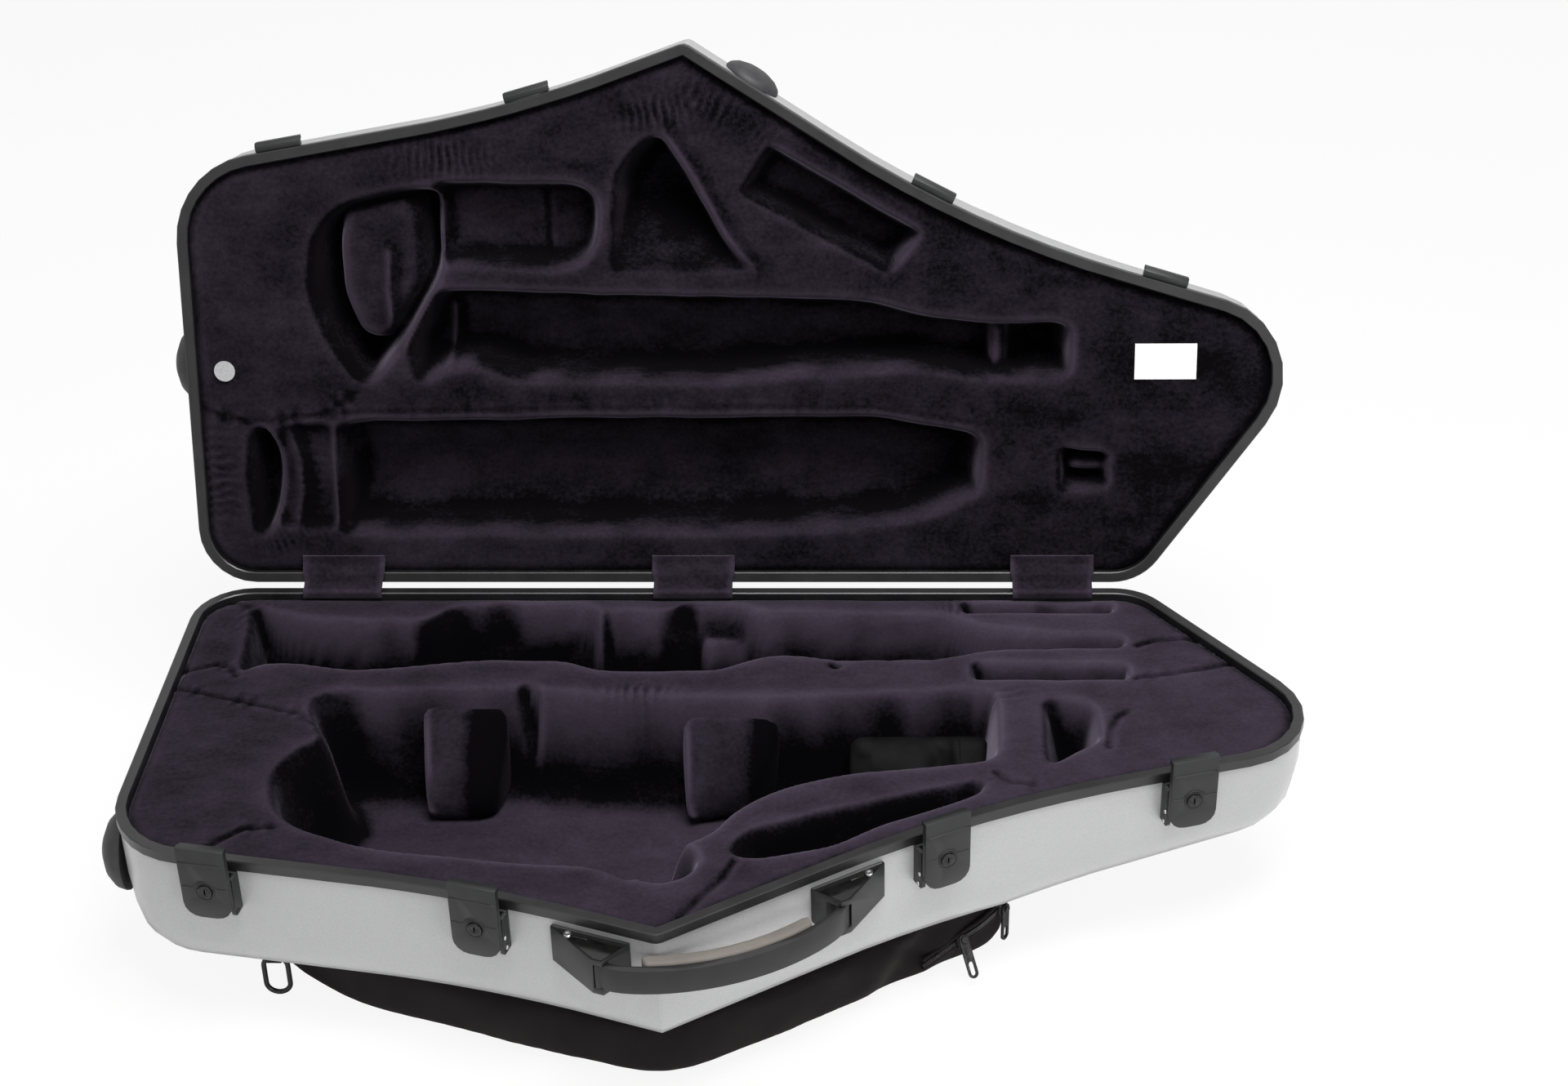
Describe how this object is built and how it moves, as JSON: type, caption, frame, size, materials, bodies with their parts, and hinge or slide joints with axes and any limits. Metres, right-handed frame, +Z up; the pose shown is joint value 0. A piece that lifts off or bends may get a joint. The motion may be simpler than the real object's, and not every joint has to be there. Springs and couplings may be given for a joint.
{
  "type": "double saxophone case",
  "caption": "Hard case for a tenor and a soprano saxophone, standing open on the pocket under its base, with a shaped plush lining, lever latches, a strap handle and round feet.",
  "frame": {"origin": "on the floor, on the pocket's flat underside, halfway between the hinge line and the case's nose and halfway along the case", "axes": "+X along the hinge towards the narrow end, -Y towards the handle and the latches, +Z up"},
  "size_m": [0.8962, 0.6507, 0.5881],
  "materials": {
    "shell_grey": "satin silver grey",
    "rim_black": "satin black",
    "plush": "short dark plush over foam",
    "latch_black": "fine textured dark grey",
    "silver_metal": "bright nickel",
    "dark_metal": "black enamel",
    "label_white": "plain white, bare",
    "strap_black": "matt moulded strap",
    "grip_taupe": "soft matt pad",
    "pocket_cloth": "black woven nylon",
    "leather_black": "soft black leather",
    "foot_rubber": "matt black rubber"
  },
  "bodies": {
    "base": {"base_shell": "shell_grey", "base_rim": "rim_black", "base_lining": "plush", "end_pad_left": "plush", "end_pad_right": "plush", "bell_pad": "plush", "support_block_left": "plush", "support_block_middle": "plush", "accessory_pouch": "leather_black", "hinge_leaf_base_left": "dark_metal", "hinge_leaf_base_middle": "dark_metal", "hinge_leaf_base_right": "dark_metal", "hinge_pin_left": "silver_metal", "hinge_pin_middle": "silver_metal", "hinge_pin_right": "silver_metal", "hinge_cloth_left": "plush", "hinge_cloth_middle": "plush", "hinge_cloth_right": "plush", "latch_bracket_1": "latch_black", "latch_bracket_2": "latch_black", "latch_bracket_3": "latch_black", "latch_bracket_4": "latch_black", "latch_pin_1": "silver_metal", "latch_pin_2": "silver_metal", "latch_pin_3": "silver_metal", "latch_pin_4": "silver_metal", "handle_bracket_left": "latch_black", "handle_bracket_right": "latch_black", "handle_pin_left": "silver_metal", "handle_pin_right": "silver_metal", "handle_strap": "strap_black", "handle_grip": "grip_taupe", "pocket": "pocket_cloth", "ring_tab": "pocket_cloth", "foot_base_end": "foot_rubber"},
    "lid": {"lid_shell": "shell_grey", "lid_rim": "rim_black", "lid_lining": "plush", "snap_stud": "silver_metal", "label_plate": "label_white", "hinge_leaf_lid_left": "dark_metal", "hinge_leaf_lid_middle": "dark_metal", "hinge_leaf_lid_right": "dark_metal", "keeper_1": "latch_black", "keeper_2": "latch_black", "keeper_3": "latch_black", "keeper_4": "latch_black", "foot_lid_end": "foot_rubber", "foot_lid_nose": "foot_rubber"},
    "lever_1": {"latch_lever_1": "latch_black"},
    "lever_2": {"latch_lever_2": "latch_black"},
    "lever_3": {"latch_lever_3": "latch_black"},
    "lever_4": {"latch_lever_4": "latch_black"},
    "cylinder_1": {"lock_cylinder_1": "latch_black"},
    "cylinder_2": {"lock_cylinder_2": "latch_black"},
    "cylinder_3": {"lock_cylinder_3": "latch_black"},
    "cylinder_4": {"lock_cylinder_4": "latch_black"},
    "pull_upper": {"zip_pull_upper": "dark_metal"},
    "pull_lower": {"zip_pull_lower": "dark_metal"},
    "ring": {"hanging_ring": "dark_metal"}
  },
  "joints": [
    {"name": "lid_hinge", "type": "hinge", "parent": "base", "child": "lid", "pos_m": [0, 0.22, 0.1623], "axis": [1, 0, 0], "range_deg": [0, 104], "deforming": ["hinge_cloth_left", "hinge_cloth_middle", "hinge_cloth_right"]},
    {"name": "latch_1", "type": "hinge", "parent": "base", "child": "lever_1", "pos_m": [-0.35422, -0.14755, 0.1243], "axis": [0.9859, -0.1673, 0], "range_deg": [-4, 100]},
    {"name": "latch_2", "type": "hinge", "parent": "base", "child": "lever_2", "pos_m": [-0.15706, -0.18654, 0.1243], "axis": [0.9636, -0.2674, 0], "range_deg": [-4, 100]},
    {"name": "latch_3", "type": "hinge", "parent": "base", "child": "lever_3", "pos_m": [0.16389, -0.10881, 0.1243], "axis": [0.889, 0.4579, 0], "range_deg": [-4, 100]},
    {"name": "latch_4", "type": "hinge", "parent": "base", "child": "lever_4", "pos_m": [0.34637, -0.03821, 0.1243], "axis": [0.9583, 0.2857, 0], "range_deg": [-4, 100]},
    {"name": "lock_1", "type": "hinge", "parent": "lever_1", "child": "cylinder_1", "pos_m": [-0.35572, -0.15642, 0.1458], "axis": [-0.1673, -0.9859, 0], "range_deg": [0, 90]},
    {"name": "lock_2", "type": "hinge", "parent": "lever_2", "child": "cylinder_2", "pos_m": [-0.15946, -0.19521, 0.1458], "axis": [-0.2674, -0.9636, 0], "range_deg": [0, 90]},
    {"name": "lock_3", "type": "hinge", "parent": "lever_3", "child": "cylinder_3", "pos_m": [0.16801, -0.11681, 0.1458], "axis": [0.4579, -0.889, 0], "range_deg": [0, 90]},
    {"name": "lock_4", "type": "hinge", "parent": "lever_4", "child": "cylinder_4", "pos_m": [0.34894, -0.04684, 0.1458], "axis": [0.2857, -0.9583, 0], "range_deg": [0, 90]},
    {"name": "zip_pull_upper_swing", "type": "hinge", "parent": "base", "child": "pull_upper", "pos_m": [0.21296, -0.04557, 0.0438], "axis": [0.7901, -0.613, 0], "range_deg": [-60, 60]},
    {"name": "zip_pull_lower_swing", "type": "hinge", "parent": "base", "child": "pull_lower", "pos_m": [0.18153, -0.0683, 0.0313], "axis": [0.4035, -0.7129, 0.5736], "range_deg": [-60, 60]},
    {"name": "ring_swing", "type": "hinge", "parent": "base", "child": "ring", "pos_m": [-0.32824, -0.11, 0.0474], "axis": [1, 0, 0], "range_deg": [-70, 30]}
  ]
}
